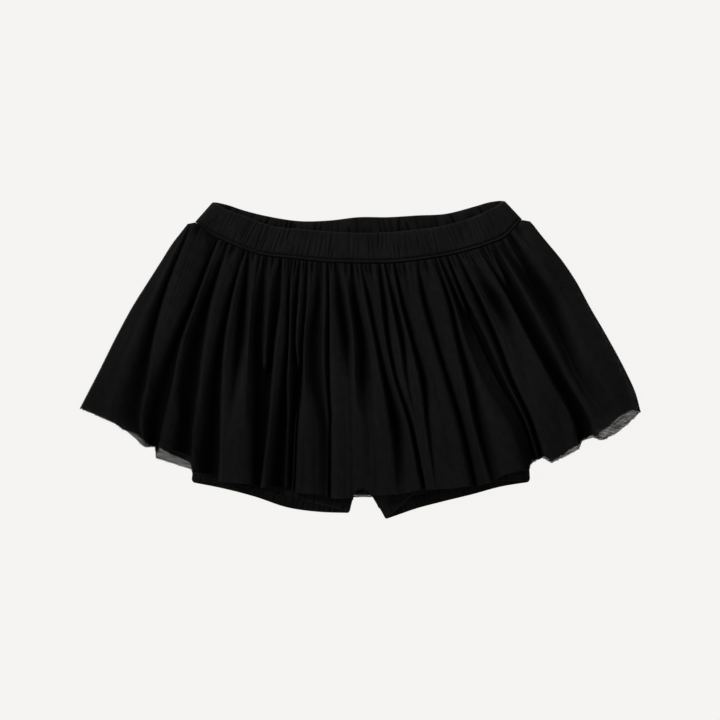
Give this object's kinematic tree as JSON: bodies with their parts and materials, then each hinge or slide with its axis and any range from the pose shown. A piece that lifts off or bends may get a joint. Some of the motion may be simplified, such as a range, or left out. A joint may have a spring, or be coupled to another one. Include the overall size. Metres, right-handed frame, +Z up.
{
  "type": "tutu skirt with shorts",
  "caption": "Child's gathered net skirt with a ruched elastic waistband and jersey shorts sewn in under it, laid flat on its back",
  "frame": {"origin": "middle of the garment's outline, on the surface that it lies on", "axes": "+X across the garment to the picture's right, +Y from hem to waist, +Z up from the surface to the front of the garment"},
  "size_m": [0.3923, 0.2226, 0.0181],
  "materials": {
    "band_jersey": "matte knitted cotton, ruched over elastic",
    "outer_net": "sheer soft net",
    "inner_net": "sheer soft net",
    "shorts_jersey": "matte knitted cotton",
    "hem_jersey": "matte knitted cotton over thin elastic"
  },
  "bodies": {
    "root": {"waistband_front": "band_jersey", "waistband_back": "band_jersey", "net_top_front": "outer_net", "net_top_back": "outer_net", "net_under_front": "inner_net", "net_under_back": "inner_net", "shorts_front_left": "shorts_jersey", "shorts_front_right": "shorts_jersey", "shorts_back_left": "shorts_jersey", "shorts_back_right": "shorts_jersey", "leg_hem_front_left": "hem_jersey", "leg_hem_back_left": "hem_jersey", "leg_hem_front_right": "hem_jersey", "leg_hem_back_right": "hem_jersey"}
  },
  "joints": []
}
